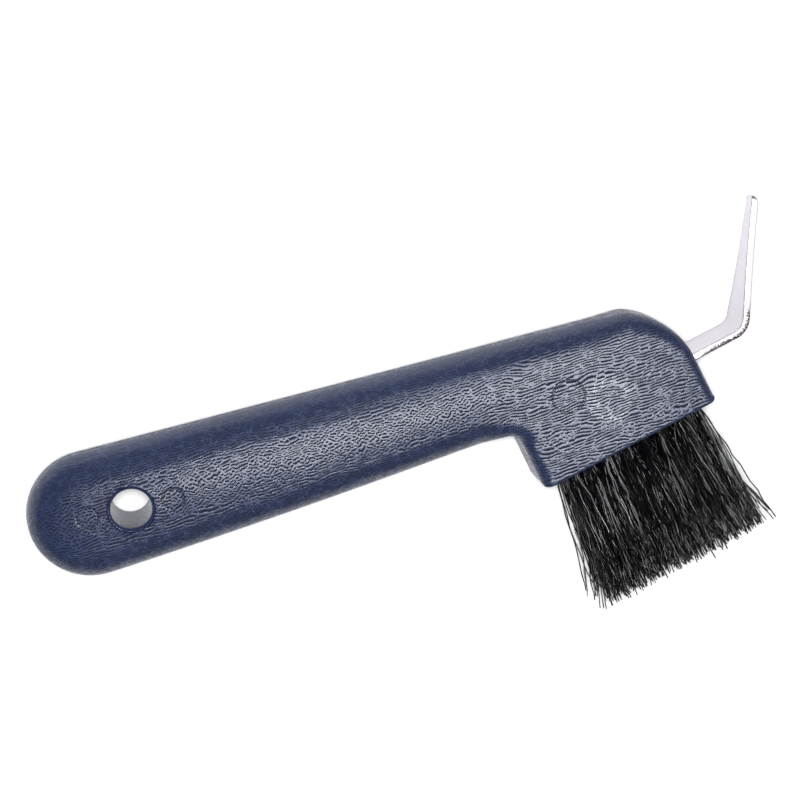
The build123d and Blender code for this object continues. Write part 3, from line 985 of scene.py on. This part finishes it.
# painted highlight: the thin pale strands are coloured light grey, fading out towards the tips
painted_highlight_f = step_between(nt, painted_highlight_and_gloss_f, 0.4, 1.0)
nt.links.new(mix(nt, painted_highlight_f, dull, (0.17, 0.17, 0.175)), bs.inputs["Base Color"])
r_b = maths(nt, "SUBTRACT", 0.16, maths(nt, "MULTIPLY", painted_highlight_and_gloss_f, 0.05))
nt.links.new(maths(nt, "ADD", r_b, maths(nt, "MULTIPLY", bn_, 0.04)), bs.inputs["Roughness"])
bs.inputs["Specular IOR Level"].default_value = 0.3
for o in tuft_objects:
    o.data.materials.append(mat_b)

# ------------------------------------------------------------------ stage and light
fm = bpy.data.meshes.new("floor")
fm.from_pydata([(-3, -3, 0), (3, -3, 0), (3, 3, 0), (-3, 3, 0)], [], [(0, 1, 2, 3)])
floor = bpy.data.objects.new("floor", fm)
floor.location = (0, 0, -0.0004)
scene.collection.objects.link(floor)
mat_f, nt, bs = material("pale_floor")
bs.inputs["Base Color"].default_value = (0.93, 0.93, 0.935, 1)
bs.inputs["Roughness"].default_value = 0.9
bs.inputs["Specular IOR Level"].default_value = 0.0
floor.data.materials.append(mat_f)

world = bpy.data.worlds.new("studio")
world.use_nodes = True
world.node_tree.nodes["Background"].inputs["Color"].default_value = (0.92, 0.95, 1.0, 1)
world.node_tree.nodes["Background"].inputs["Strength"].default_value = 0.28
scene.world = world
world.cycles_visibility.glossy = False


def only_for(name, objects):
    group = bpy.data.collections.new(name)
    for ob in objects:
        group.objects.link(ob)
    return group


brush_only = only_for("brush_only", tuft_objects)
body_only = only_for("body_only", [handle, hook])
hook_only = only_for("hook_only", [hook])


def softbox(name, at, size, radiance, turn=0.0, glossy=True, diffuse=True, aim=None, lights=None):
    ld = bpy.data.lights.new(name, "AREA")
    ld.shape = "RECTANGLE"
    ld.size, ld.size_y = size
    ld.energy = radiance * math.pi * size[0] * size[1]
    o = bpy.data.objects.new(name, ld)
    scene.collection.objects.link(o)
    o.location = at
    o.rotation_euler = (0, 0, math.radians(turn))
    if aim is not None:
        o.rotation_euler = (Vector(aim) - Vector(at)).to_track_quat("-Z", "Y").to_euler()
    o.visible_camera = False
    o.visible_glossy = glossy
    o.visible_diffuse = diffuse
    if lights is not None:
        o.light_linking.receiver_collection = lights
    return o


softbox("dome", (0, 0, 1.3), (2.6, 2.6), 0.62, glossy=False)
softbox("front", cam_at, (0.08, 0.08), 106.0, glossy=False, aim=(0, 0.02, 0))
softbox("strip", (-0.003, -0.072, 0.44), (0.185, 0.05), 29.0, turn=-8.5, diffuse=False, lights=body_only)
softbox("strip_head", (0.142, -0.088, 0.44), (0.080, 0.165), 17.0, diffuse=False, lights=body_only)
softbox("strip_top", (0.140, 0.095, 0.44), (0.13, 0.20), 12.0, diffuse=False, lights=body_only)
softbox("strip_far", (0.140, 0.300, 0.44), (0.16, 0.20), 5.0, diffuse=False, lights=body_only)
softbox("strip_hook", (0.240, 0.030, 0.44), (0.10, 0.36), 3.0, diffuse=False, lights=body_only)
softbox("hook_side", (0.45, -0.02, 0.30), (0.5, 0.5), 1.3, diffuse=False, aim=(0.1, 0.03, 0.009), lights=hook_only)
softbox("strands", (0.10, -0.226, 0.40), (0.20, 0.055), 70.0, diffuse=False, lights=brush_only)
scene.view_settings.view_transform = "Standard"
scene.view_settings.look = "None"
scene.view_settings.exposure = 0.0
